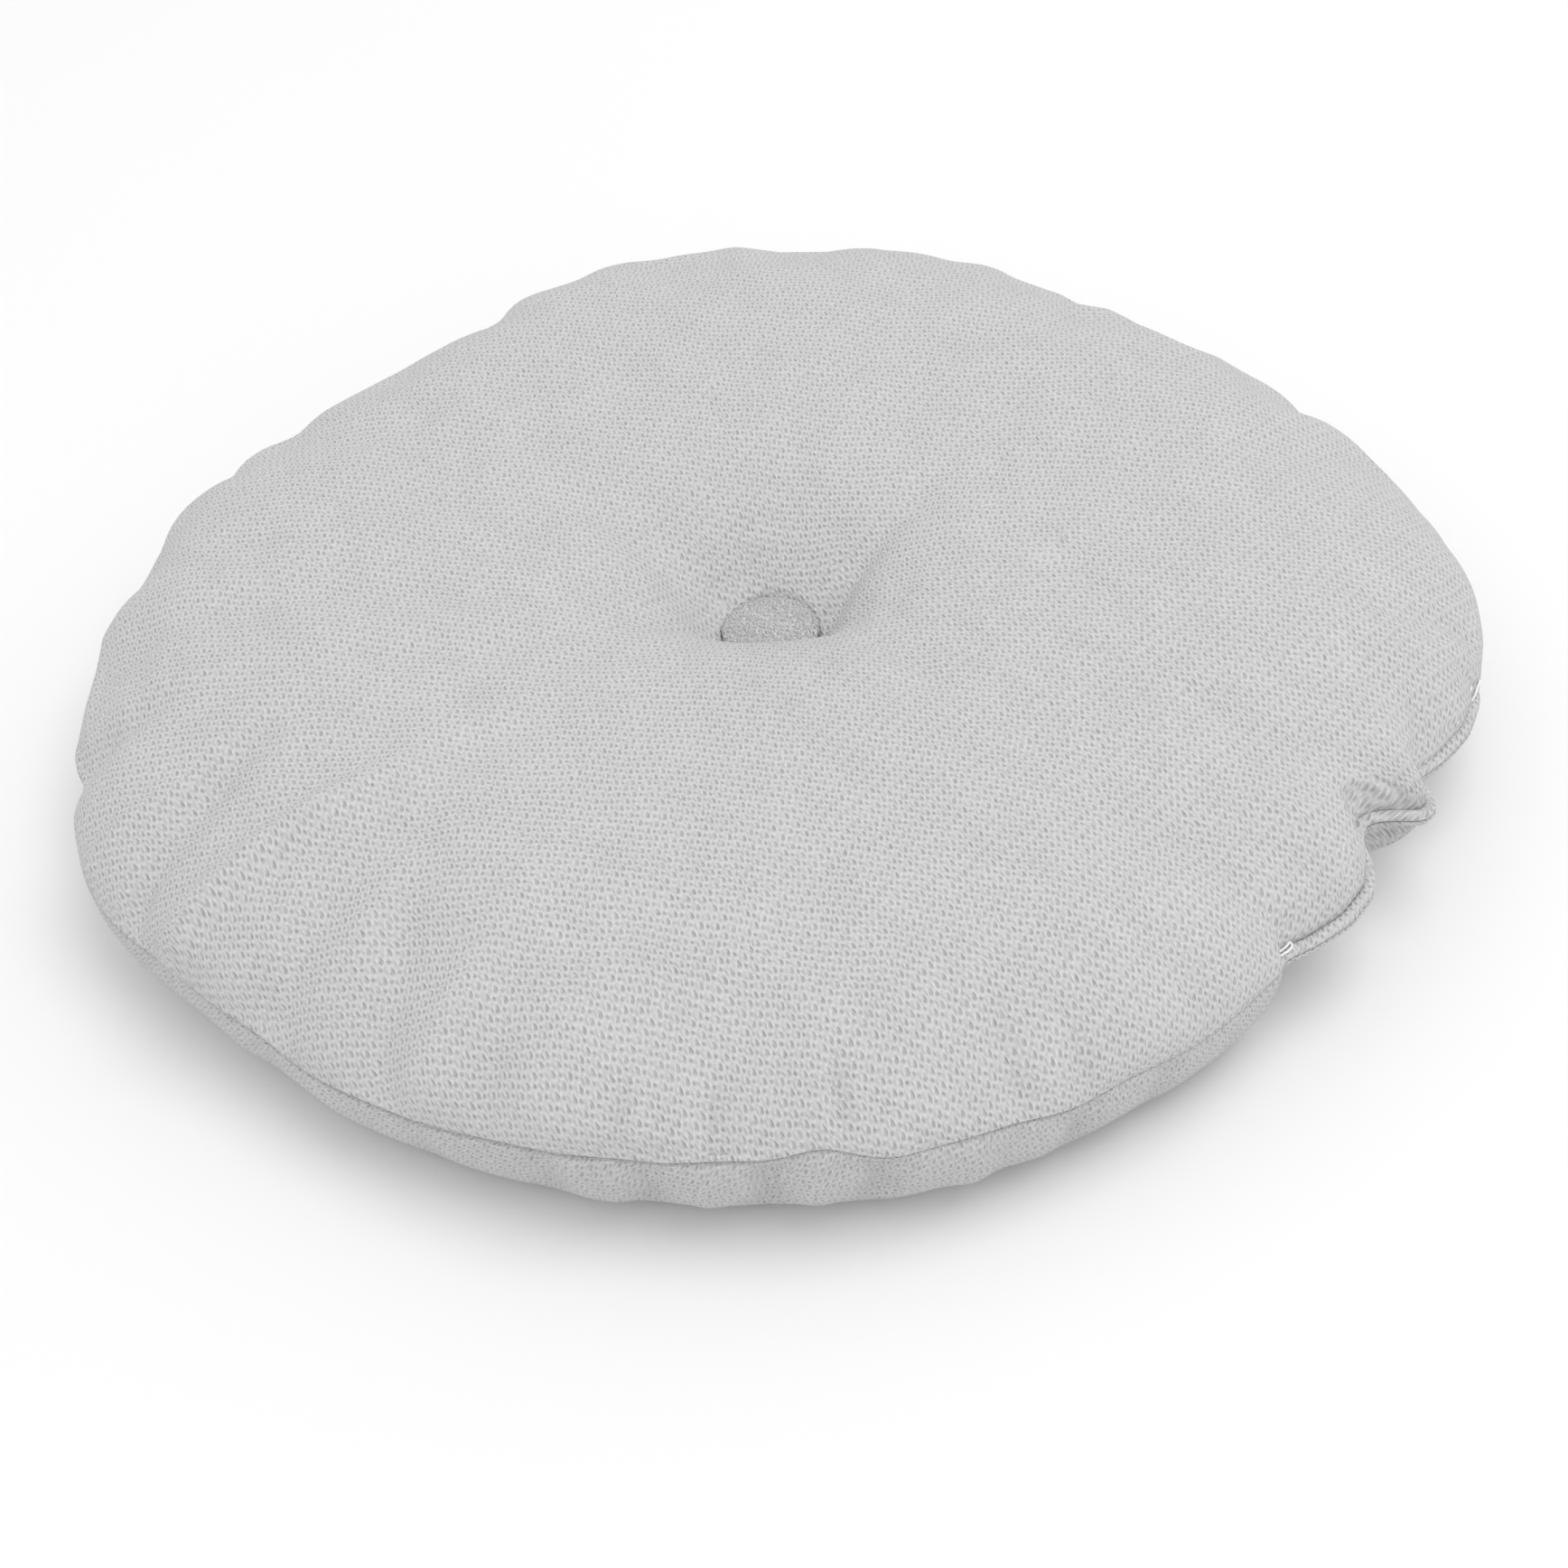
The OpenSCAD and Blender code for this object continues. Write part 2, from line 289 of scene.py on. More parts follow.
# Folds of the top, each a line seen from above: direction and radius of its inner end and of
# its outer end, half width in mm, height. A negative height is a valley.
FOLDS = [
    # the left front
    ((-143, 110), (-146, 205), 5.5, 5.6), ((-138, 100), (-135, 200), 8, -3.6),
    ((-138, 120), (-124, 198), 6, -3.2), ((-166, 130), (-152, 202), 6, -4.0),
    ((-159, 165), (-159, 210), 4, 2.4), ((-146, 180), (-146, 210), 2.5, -1.4),
    ((-171, 160), (-171, 210), 5, -2.2),
    # the front
    ((-119, 130), (-120, 200), 6, 2.6), ((-115.5, 165), (-114.5, 205), 4, -2.0),
    ((-108, 140), (-109, 205), 8, 2.0),
    ((-105, 180), (-105, 210), 2.6, -3.0), ((-97.6, 178), (-97.6, 210), 2.6, -3.0),
    ((-88, 172), (-88.5, 210), 2.8, -3.6), ((-75, 174), (-75.6, 210), 3, -3.0),
    ((-70, 176), (-70.5, 210), 2.6, -2.6), ((-60.7, 155), (-60.7, 210), 7, -2.0),
    ((-66, 130), (-66, 200), 9, 1.8), ((-82, 130), (-83, 200), 9, 1.4),
    # the back and the far sides
    ((163, 50), (163, 160), 9, 1.2), ((178, 50), (178, 150), 8, -1.3), ((-172, 45), (-172, 140), 9, 1.3),
    ((116, 170), (116, 210), 6, -1.4), ((150, 170), (150, 210), 6, -1.4), ((160, 170), (160, 210), 5, -1.3),
    ((24, 165), (24, 210), 7, -1.3), ((-22, 60), (-12, 110), 8, -1.2),
    # creases that run into the hollow round the button
    ((137, 90), (170, 20), 5.5, -2.8), ((41, 94), (6, 20), 6, -3.0), ((-58, 88), (-48, 60), 7, -2.2),
    ((-33, 95), (-58, 36), 5, -1.6), ((-153, 90), (-130, 34), 5, -1.4),
    # beside the closure: the loose corner of fabric behind the pocket, and the swell before it
    ((-21, 168), (-30.8, 200), 5.5, 2.4), ((-16, 182), (-27, 196), 4, -2.2),
    ((-40, 140), (-40, 205), 11, 2.2), ((-51, 150), (-50.5, 205), 7, -2.4),
]
# Creases that run out from the button: direction near and far, half width, to radius, depth
CREASES = [(-20, -10, 5, 90, 1.6), (-2, -12, 5, 100, 0.8), (178, 172, 5, 85, 1.0), (-48, -52, 7, 95, 1.2)]


def polar(azimuth, r):
    return r * math.cos(math.radians(azimuth)), r * math.sin(math.radians(azimuth))


def fold_height(x, y, folds):
    """Height of all folds at points seen from above. A fold grows from its inner end."""
    total = 0
    for inner, outer, width, height in folds:
        (ax, ay), (bx, by) = polar(*inner), polar(*outer)
        long = math.hypot(bx - ax, by - ay)
        along = ((x - ax) * (bx - ax) + (y - ay) * (by - ay)) / long ** 2
        across = ((x - ax) * (by - ay) - (y - ay) * (bx - ax)) / long
        reach = ease(0, 0.6, along) * (1 - ease(1, 1.4, along))
        total = total + height * np.exp(-(across / width) ** 2) * reach
    return total


def crease_depth(r, azimuth):
    total = 0
    for near, far, width, reach, depth in CREASES:
        centre = near + (far - near) * ease(20, reach, r)
        across = r * np.sin(np.radians(turn_between(azimuth, centre)))
        facing = np.abs(turn_between(azimuth, centre)) < 90
        fade = ease(16, 30, r) * (1 - ease(reach * 0.5, reach, r))
        total = total + depth * np.exp(-np.sqrt((across / width) ** 2 + 0.05)) * fade * facing
    return total


def rim_puckers(r, azimuth, seed):
    """Small gathers that the stitching draws in, strongest at the seam."""
    a = np.radians(azimuth)
    total = 0
    for k, height in ((19, 0.30), (31, 0.28), (43, 0.22), (59, 0.16), (83, 0.10)):
        swell = 0.6 + 0.4 * np.sin(a * (3 + k % 5) + seed + k)
        total = total + height * swell * np.sin(k * a + seed * k)
    return total * ease(160, 199, r)


def outward(grid, up):
    """Unit normals of a cover's grid of points [row, column], the columns closed into a ring."""
    along = np.gradient(grid, axis=0)
    around = np.roll(grid, -1, axis=1) - np.roll(grid, 1, axis=1)
    n = np.cross(along, around) * up
    return n / np.maximum(np.linalg.norm(n, axis=2, keepdims=True), 1e-9)


def at_height(plan, height):
    """Points of one ring, from its places seen from above and its height."""
    height = np.broadcast_to(np.asarray(height, float), plan.shape[:1])
    return np.concatenate([plan, height[:, None]], axis=1)


RIM = rim_outline(AZIMUTH)
PULL = BULGE - RIM[:, None] * DIRECTION
SOFT_PULL = averaged(PULL, RIM[:, None] * DIRECTION, 11)


def spread_out(base_r):
    """A ring of the round pattern once the outline's bulges and the closure are put in. The
    closure's folds are sharp at the seam and soft farther in."""
    r = base_r + (RIM - RIM_R) * np.clip((base_r - 100) / 98, 0, 1)
    sharp = ease(RIM_R - 14, RIM_R - 0.5, base_r)
    pull = SOFT_PULL + (PULL - SOFT_PULL) * sharp
    return r[:, None] * DIRECTION + pull * ease(160, RIM_R, base_r)


def cover_rows(up):
    """Rings of points of a cover's outer face, from the eye's hole to the end of its seam
    allowance. up is 1 for the top cover and -1 for the bottom one. The second result is how far
    each ring's face leans outward, in radians, and the third is the number of rings before
    the folded edge."""
    if up > 0:
        seat_z, edge_r, lobes, face_rows, side_rows = TOP_SEAT_Z, CROWN_R, TOP_LOBES, 46, 38
    else:
        seat_z, edge_r, lobes, face_rows, side_rows = BOTTOM_SEAT_Z, FOOT_R, BOTTOM_LOBES, 52, 20
    rows = []
    for r in (EYE_HOLE_R, 6.5, EYE_DIP_R, 12):
        rows.append(at_height(r * DIRECTION, seat_z - up * max(1 - r / EYE_DIP_R, 0)))

    def rise(plan):
        return lobed(np.linalg.norm(plan, axis=1), AZIMUTH, lobes)

    for u in np.linspace(0, 1, face_rows):
        base_r = BUTTON_R + (edge_r - BUTTON_R) * u ** 1.5
        plan = spread_out(base_r)
        if up > 0:
            r = np.linalg.norm(plan, axis=1)
            beside = ease(BUTTON_R - 0.1, BUTTON_R + 0.35, r)
            welt = WELT_H * beside * np.exp(-((r - BUTTON_R) / WELT_W) ** 2)
            rows.append(at_height(plan, seat_z + welt + (CROWN_Z - seat_z) * rise(plan)))
        else:
            plan = plan - TUCK[:, None] * DIRECTION * ease(100, FOOT_R, base_r)
            rows.append(at_height(plan, seat_z * (1 - np.minimum(rise(plan), 1))))
    lean = [0] * len(rows)
    # the side, a quarter of an ellipse down to the bulge beside the seam
    for a in np.linspace(0, math.pi / 2, side_rows + 1)[1:]:
        lean.append(math.atan2(math.sin(a) / (RIM_R - edge_r), math.cos(a) / SEAM_Z))
        plan = spread_out(edge_r + (RIM_R - edge_r) * math.sin(a))
        if up > 0:
            low = SEAM + BULGE_H
            crown = seat_z + (CROWN_Z - seat_z) * rise(plan)
            rows.append(at_height(plan, low + (crown - low) * math.cos(a)))
        else:
            plan = plan - TUCK[:, None] * DIRECTION * max(math.cos(a), 0) ** 1.5
            rows.append(at_height(plan, (SEAM - BULGE_H) * (1 - math.cos(a))))
    # round the bulge into the seam
    for a in np.radians((25, 50, 75)):
        plan = BULGE + (NECK - BULGE) * (1 - math.cos(a))
        rows.append(at_height(plan, SEAM + up * (BULGE_H - (BULGE_H - 0.4) * math.sin(a))))
    body_rows = len(rows)
    # the folded edge: a lip along the closure, and only a thin bead inside the groove elsewhere
    width = 0.3 * (1 - SHARE) + (EDGE_STITCH + EDGE_GAP) * SHARE
    tall = 0.3 + 0.7 * SHARE
    for out, height in LIP:
        rows.append(at_height(NECK + OUT * (out * width)[:, None], SEAM + up * (0.12 + height * tall)))
    for inward in ALLOWANCE:
        rows.append(at_height(NECK - OUT * inward, SEAM + up * 0.15))
    lean += [math.pi / 2] * (len(rows) - len(lean))
    return np.array(rows), np.array(lean), body_rows


def pushed(grid, lean, up, distance):
    """The grid's points moved out of the cushion, each ring in one steady direction, so that
    neighbouring points never cross."""
    side = np.sin(lean)[:, None, None]
    rise = np.broadcast_to(up * np.cos(lean)[:, None, None], grid.shape[:2] + (1,))
    return grid + np.concatenate([side * DIRECTION[None], rise], axis=2) * distance[..., None]


def shaped_top():
    grid, lean, body = cover_rows(1)
    r = np.hypot(grid[..., 0], grid[..., 1])
    azimuth = np.degrees(np.arctan2(grid[..., 1], grid[..., 0]))
    lift = ripple(grid[..., 0], grid[..., 1], LUMPS) * ease(30, 90, r)
    lift = lift + fold_height(grid[..., 0], grid[..., 1], FOLDS)
    lift = lift - crease_depth(r, azimuth) + rim_puckers(r, azimuth, 0.7)
    # the folds end before the seam, so that none of them bares its stitches
    row = np.arange(len(grid))[:, None]
    lift = lift * (1 - ease(body - 12, body - 2, row))
    return pushed(grid, lean, 1, lift), body


BOTTOM_FOLDS = [
    ((-104, 172), (-102.5, 210), 4.5, -4.2), ((-95, 172), (-93.5, 210), 4, -4.4),
    ((-88, 172), (-85.5, 210), 4.5, -4.8), ((-72, 172), (-70.5, 210), 4.5, -3.8),
    ((-99.5, 172), (-98, 210), 4, 1.6), ((-91, 172), (-90, 210), 4, 1.5), ((-79, 172), (-79, 210), 6, 1.6),
    ((-112, 172), (-110, 210), 5, -2.8), ((-122, 174), (-121, 210), 6, -2.0),
    ((-64, 174), (-63, 210), 5, -2.4),
]


def shaped_bottom():
    grid, lean, body = cover_rows(-1)
    r = np.hypot(grid[..., 0], grid[..., 1])
    azimuth = np.degrees(np.arctan2(grid[..., 1], grid[..., 0]))
    lift = fold_height(grid[..., 0], grid[..., 1], BOTTOM_FOLDS) + 1.1 * rim_puckers(r, azimuth, 2.9)
    lift = lift * ease(168, 185, r) * ease(5, 15, grid[..., 2])
    row = np.arange(len(grid))[:, None]
    lift = lift * (1 - ease(body - 6, body - 3, row))
    grid = pushed(grid, lean, -1, lift)
    # the fabric that lies on the floor is not quite flat: it lifts a little between its lumps
    raised = np.abs(ripple(grid[..., 0], grid[..., 1], LUMPS)) * 0.5 * ease(20, 70, r)
    grid[..., 2] = np.maximum(grid[..., 2], 0) + raised * (1 - ease(body - 24, body - 14, row))
    return grid, body


# ---------------------------------------------------------------- meshes

# Millimetres of flat fabric in one unit of the map that places the weave
UV_UNIT = 100


def add_object(name, verts, faces, uv=None, smooth=True):
    """A new mesh object from points in millimetres."""
    mesh = bpy.data.meshes.new(name)
    mesh.from_pydata((np.asarray(verts) * MM).tolist(), [], [tuple(f) for f in faces])
    mesh.update()
    if smooth:
        mesh.shade_smooth()
    if uv is not None:
        layer = mesh.uv_layers.new(name="flat_fabric")
        index = np.zeros(len(mesh.loops), int)
        mesh.loops.foreach_get("vertex_index", index)
        layer.data.foreach_set("uv", np.asarray(uv, float)[index].ravel())
    piece = bpy.data.objects.new(name, mesh)
    bpy.context.scene.collection.objects.link(piece)
    return piece


def ring_faces(rows, cols, closed_rows):
    """Quads of a grid whose columns close into a ring, and whose rows may close too."""
    i, j = np.meshgrid(np.arange(rows if closed_rows else rows - 1), np.arange(cols), indexing="ij")
    down = (i + 1) % rows
    right = (j + 1) % cols
    quads = np.stack([i * cols + j, i * cols + right, down * cols + right, down * cols + j], axis=-1)
    return quads.reshape(-1, 4)


def cover_piece(name, grid, body, up):
    """A closed skin of fabric: the outer face, and an inner face a fabric's thickness in."""
    n = outward(grid, up)
    # the inner face needs fewer rings, but stays close to the outer one down the curved side
    back = [*range(body - 6, body - 24, -2), *range(body - 24, 4, -5), 3, 0]
    turned = [at_height(NECK - OUT * inward, SEAM + up * (FABRIC_T + 0.1)) for inward in ALLOWANCE[::-1]]
    inner = grid[back] - n[back] * FABRIC_T
    inner[..., 2] = np.maximum(inner[..., 2], 0.3)
    full = np.concatenate([grid, np.array(turned), inner])
    rows, cols = full.shape[:2]
    # how far each point lies from the middle along the fabric
    run = np.linalg.norm(np.diff(grid, axis=0), axis=2)
    start = np.full((1, cols), np.linalg.norm(grid[0, 0, :2]))
    arc = start + np.concatenate([np.zeros((1, cols)), np.cumsum(run, axis=0)])
    arc = np.concatenate([arc, arc[-1:], arc[-2:-1], arc[back]])
    uv = arc[..., None] * DIRECTION / UV_UNIT
    faces = ring_faces(rows, cols, True)
    if up > 0:
        faces = faces[:, ::-1]
    return add_object(name, full.reshape(-1, 3), faces, uv.reshape(-1, 2))


top_grid, top_body = shaped_top()
bottom_grid, bottom_body = shaped_bottom()

# The coarse bag that is pumped up has every 8th column and 3rd ring of the covers. The limit
# is how far it may move a point, in mm
BAG_EVERY = 8
BAG_ROWS = 3
SWELL_LIMIT = 2.2


def bag_rows(body):
    """The rings of a cover that the coarse bag keeps, from the button to the seam."""
    return sorted({*range(4, body - 4, BAG_ROWS), body - 4, body - 1})


def swollen():
    """Pumps up a coarse copy of the two covers as cloth, held at the seam, at the buttons and
    where it lies on the floor. Gives each cover's coarse shift in millimetres."""
    upper, lower = bag_rows(top_body), bag_rows(bottom_body)
    rings = np.concatenate([top_grid[upper], bottom_grid[lower][::-1]])[:, ::BAG_EVERY]
    rows, cols = rings.shape[:2]
    bag = add_object("pumped_bag", rings.reshape(-1, 3), ring_faces(rows, cols, True)[:, ::-1])
    held = np.zeros((rows, cols))
    held[[0, 1, len(upper) - 1, len(upper), rows - 2, rows - 1]] = 1
    held[len(upper) - 2] = 0.6
    held[rings[..., 2] < 2] = 1
    group = bag.vertex_groups.new(name="held")
    for index, weight in enumerate(held.ravel()):
        group.add([index], float(weight), "REPLACE")
    cloth = bag.modifiers.new("cloth", "CLOTH")
    cloth.settings.quality = 8
    cloth.settings.mass = 0.01
    cloth.settings.tension_stiffness = 12
    cloth.settings.compression_stiffness = 6
    cloth.settings.shear_stiffness = 4
    cloth.settings.bending_stiffness = 0.3
    cloth.settings.use_pressure = True
    cloth.settings.uniform_pressure_force = 4
    cloth.settings.effector_weights.gravity = 0
    cloth.settings.vertex_group_mass = group.name
    cloth.point_cache.frame_end = 20
    for step in range(1, 21):
        bpy.context.scene.frame_set(step)
    shape = bag.evaluated_get(bpy.context.evaluated_depsgraph_get()).data
    place = np.empty(rows * cols * 3, np.float32)
    shape.vertices.foreach_get("co", place)
    shift = place.reshape(rows, cols, 3).astype(float) / MM - rings
    bpy.data.meshes.remove(bag.data)
    bpy.context.scene.frame_set(1)
    # the profile is already that of a full cushion, so what a whole ring has in common is taken off
    out = DIRECTION[None, ::BAG_EVERY]
    common = (shift[..., :2] * out).sum(axis=2).mean(axis=1)
    shift[..., :2] -= common[:, None, None] * out
    shift[..., 2] -= shift[..., 2].mean(axis=1, keepdims=True)
    far = np.linalg.norm(shift, axis=2, keepdims=True)
    shift = shift * np.minimum(1, SWELL_LIMIT / np.maximum(far, 1e-6))
    return (upper, shift[:len(upper)]), (lower, shift[len(upper):][::-1])


def spread_shift(grid, rows, shift):
    """A coarse shift carried over to every point of a cover's grid."""
    coarse = np.arange(0, grid.shape[1], BAG_EVERY)
    full = np.zeros_like(grid)
    count, cols = grid.shape[:2]
    for axis in range(3):
        every = np.arange(cols)
        rings = np.array([np.interp(every, coarse, ring, period=cols) for ring in shift[..., axis]])
        for column in range(cols):
            line = np.interp(np.arange(count), rows, rings[:, column], left=0, right=0)
            full[:, column, axis] = line
    return full


for_top, for_bottom = swollen()
top_grid = top_grid + spread_shift(top_grid, *for_top)
bottom_grid = bottom_grid + spread_shift(bottom_grid, *for_bottom)
bottom_grid[..., 2] = np.maximum(bottom_grid[..., 2], 0)

top_cover = cover_piece("woven_top_cover", top_grid, top_body, 1)
bottom_cover = cover_piece("woven_bottom_cover", bottom_grid, bottom_body, -1)


# How far the fibre's skin lies inside the covers' outer faces
FILLING_DEPTH = 3.0


def filling_piece():
    """The fibre, a closed form just inside the two covers, open round the twine."""
    top_rows = list(range(4, top_body - 8, 4))
    bottom_rows = [*range(4, bottom_body - 22, 4), *range(bottom_body - 22, bottom_body - 6, 2)]
    top_in = top_grid[top_rows] - outward(top_grid, 1)[top_rows] * FILLING_DEPTH
    bottom_in = bottom_grid[bottom_rows] - outward(bottom_grid, -1)[bottom_rows] * FILLING_DEPTH
    # its widest ring stops inside the seam allowance, and farther in under the closure
    middle = at_height(NECK - OUT * 9 - DIRECTION * TUCK[:, None] * 0.2, SEAM)[None]
    full = np.concatenate([top_in, middle, bottom_in[::-1]])
    full = full[:, ::3]
    full[..., 2] = np.maximum(full[..., 2], FILLING_DEPTH / 2)
    rows, cols = full.shape[:2]
    return add_object("fibre_filling", full.reshape(-1, 3), ring_faces(rows, cols, True)[:, ::-1])


filling = filling_piece()


def button_piece(name, back_z, up):
    """Fabric stretched over a round button: a low dome, pleated where it turns behind."""
    cols = 120
    turn = np.linspace(0, 2 * math.pi, cols, endpoint=False)
    rim_z = 2.4
    dome = BUTTON_H - rim_z
    thick = 0.85
    # from the middle of the inner face, round the turned edge, to the middle of the outer face
    section = [
        (1.2, BUTTON_H - thick), (6, BUTTON_H - 1.05), (10, BUTTON_H - 1.7), (13, rim_z + 0.5),
        (13.2, 1.6), (12.6, 0.95), (11.7, 1.5), (11.7, 0.6), (12.1, 0.12), (12.9, 0.1),
        (13.6, 0.55), (14.1, 1.35), (BUTTON_R, rim_z),
    ]
    for a in np.linspace(0, math.pi / 2, 15)[1:-1]:
        section.append((BUTTON_R * math.cos(a), rim_z + dome * math.sin(a) ** 1.15))
    section.append((0.8, BUTTON_H))
    rings = []
    flat = []
    for r, z in section:
        turned = (1 - ease(rim_z - 1.4, rim_z + 1.6, z)) * ease(10, 12.5, r)
        pleat = 0.16 * np.sin(27 * turn + 1.2 * np.sin(3 * turn)) + 0.1 * np.sin(41 * turn + 2)
        dent = 0.12 * np.sin(2 * turn + 0.6) * ease(2, 9, r) + 0.05 * np.sin(5 * turn) * ease(1, 4, r)
        radius = r + pleat * turned
        height = back_z + up * (z + dent * ease(rim_z, rim_z + 1.5, z))
        rings.append(np.stack([radius * np.cos(turn), radius * np.sin(turn), height], axis=-1))
        flat.append((r + 0.35 * (BUTTON_H - z)) * np.stack([np.cos(turn), np.sin(turn)], axis=-1))
    rows = len(rings)
    middles = [(0, 0, back_z + up * (BUTTON_H - thick)), (0, 0, back_z + up * BUTTON_H)]
    verts = np.concatenate([np.reshape(rings, (-1, 3)), middles])
    uv = np.concatenate([np.reshape(flat, (-1, 2)), np.zeros((2, 2))]) / UV_UNIT
    faces = ring_faces(rows, cols, False).tolist()
    this, following = np.arange(cols), (np.arange(cols) + 1) % cols
    last = (rows - 1) * cols
    faces += [(rows * cols, b, a) for a, b in zip(this, following)]
    faces += [(rows * cols + 1, a, b) for a, b in zip(last + this, last + following)]
    if up < 0:
        faces = [face[::-1] for face in faces]
    return add_object(name, verts, faces, uv)


def thread_piece(name, lines, diameter):
    """Round thread along smooth lines of points in millimetres, as a mesh."""
    curve = bpy.data.curves.new(name, "CURVE")
    curve.dimensions = "3D"
    curve.bevel_depth = diameter / 2 * MM
    curve.bevel_resolution = 2
    curve.use_fill_caps = True
    for line in lines:
        spline = curve.splines.new("NURBS")
        spline.points.add(len(line) - 1)
        spline.points.foreach_set("co", np.c_[np.asarray(line) * MM, np.ones(len(line))].ravel())
        spline.order_u = 3
        spline.resolution_u = 3
        spline.use_endpoint_u = True
    holder = bpy.data.objects.new(name + "_line", curve)
    bpy.context.scene.collection.objects.link(holder)
    bpy.context.view_layer.update()
    mesh = bpy.data.meshes.new_from_object(holder.evaluated_get(bpy.context.evaluated_depsgraph_get()))
    bpy.data.objects.remove(holder)
    mesh.name = name
    mesh.materials.clear()
    mesh.shade_smooth()
    piece = bpy.data.objects.new(name, mesh)
    bpy.context.scene.collection.objects.link(piece)
    return piece


def seam_places(low, high, pitch):
    """Stitch places along the seam between two directions: plan places and outward directions
    of the start of every stitch, in order."""
    order = np.argsort((AZIMUTH - low) % 360)
    order = order[((AZIMUTH - low) % 360)[order] <= (high - low) % 360]
    path = np.concatenate([NECK[order], OUT[order], SEAM[order, None]], axis=1)
    run = np.concatenate([[0], np.cumsum(np.linalg.norm(np.diff(path[:, :2], axis=0), axis=1))])
    places = np.arange(0, run[-1], pitch)
    return np.array([np.interp(places, run, path[:, k]) for k in range(5)]).T


def stitched(low, high, pitch, side, profile):
    """A line of stitches. profile gives, for a share of the pitch, how far out from the seam
    line and how far from the seam's plane the thread lies."""
    line = []
    places = seam_places(low, high, pitch)
    for here, there in zip(places[:-1], places[1:]):
        for share, out, height in profile:
            x, y, nx, ny, z = here + (there - here) * share
            line.append((x + nx * out, y + ny * out, z + side * height))
    return line


# A stitch of the rim seam runs inside the cushion and shows as a short rung in the groove
RUNG = [(0.0, 0.2, 0.25), (0.1, 0.1, 0.75), (0.25, -1.2, 1.75), (0.75, -1.2, 1.75), (0.9, 0.1, 0.75)]
# A stitch of the closure lies in the groove behind the lip and dips into it at both ends
DASH = [(0.0, 0.2, 0.0), (0.08, 0.2, 0.75), (0.3, 0.25, 1.0), (0.7, 0.25, 1.0), (0.92, 0.2, 0.75)]
THREAD_D = 0.5
TACK_D = 0.65
# Stitch lengths
RIM_PITCH = 3.0
EDGE_PITCH = 3.1
# The rim seam runs all round but for the closure
RIM_SEAM = (CLOSURE_TO + 1, CLOSURE_FROM - 1, RIM_PITCH)
EDGE_SEAM = (CLOSURE_FROM, CLOSURE_TO, EDGE_PITCH)

top_button = button_piece("covered_top_button", TOP_BACK_Z, 1)
bottom_button = button_piece("covered_bottom_button", BOTTOM_BACK_Z, -1)
rim_needle = thread_piece("rim_needle_stitches", [stitched(*RIM_SEAM, 1, RUNG)], THREAD_D)
rim_bobbin = thread_piece("rim_bobbin_stitches", [stitched(*RIM_SEAM, -1, RUNG)], THREAD_D)
edge_needle = thread_piece("closure_needle_stitches", [stitched(*EDGE_SEAM, 1, DASH)], THREAD_D)
edge_bobbin = thread_piece("closure_bobbin_stitches", [stitched(*EDGE_SEAM, -1, DASH)], THREAD_D)


def tack_piece(name, direction, shape):
    """Loose thread at one end of the closure. Its shape's points are how far along the seam
    from a direction, how far out from the seam line, and how far above it, in millimetres."""
    at = int(np.argmin(np.abs(turn_between(AZIMUTH, direction))))
    start, out = NECK[at], OUT[at]
    along = np.array([-out[1], out[0]])
    lines = []
    for points in shape:
        lines.append([(*(start + along * u + out * v), SEAM[at] + w) for u, v, w in points])
    return thread_piece(name, lines, TACK_D)


FRONT_TACK = [
    [(-4.2, 0.5, 0.5), (-3.2, 1.5, 1.9), (-1.8, 2.5, 2.6), (0.2, 3.1, 3.0), (2.0, 3.0, 3.0),
     (3.2, 2.2, 2.9), (3.3, 1.0, 2.8), (2.0, 0.3, 2.7), (0.0, 0.2, 2.7), (-1.8, 0.6, 2.5),
     (-2.9, 1.5, 2.4), (-3.6, 2.6, 2.3), (-3.4, 3.6, 2.0)],
    [(-2.8, 0.8, 1.8), (-1.2, 1.5, 2.9), (0.6, 1.9, 3.3), (2.2, 1.7, 3.2), (3.8, 1.0, 2.4),
     (4.8, 0.6, 1.0)],
]
REAR_TACK = [
    [(-4.6, 0.3, 0.8), (-3.6, 1.6, 2.8), (-1.6, 2.4, 3.8), (1.0, 3.0, 4.0), (3.2, 3.4, 3.6),
     (4.8, 2.9, 2.8), (4.6, 1.6, 2.4)],
    [(-3.0, -0.4, 1.8), (-1.4, 0.8, 3.6), (0.9, 1.2, 4.0), (3.0, 0.9, 3.4), (4.2, 0.2, 1.4)],
]
front_tack = tack_piece("front_tack_loop", CLOSURE_FROM + 0.6, FRONT_TACK)
rear_tack = tack_piece("rear_tack_loop", CLOSURE_TO - 0.6, REAR_TACK)


# ---------------------------------------------------------------- materials

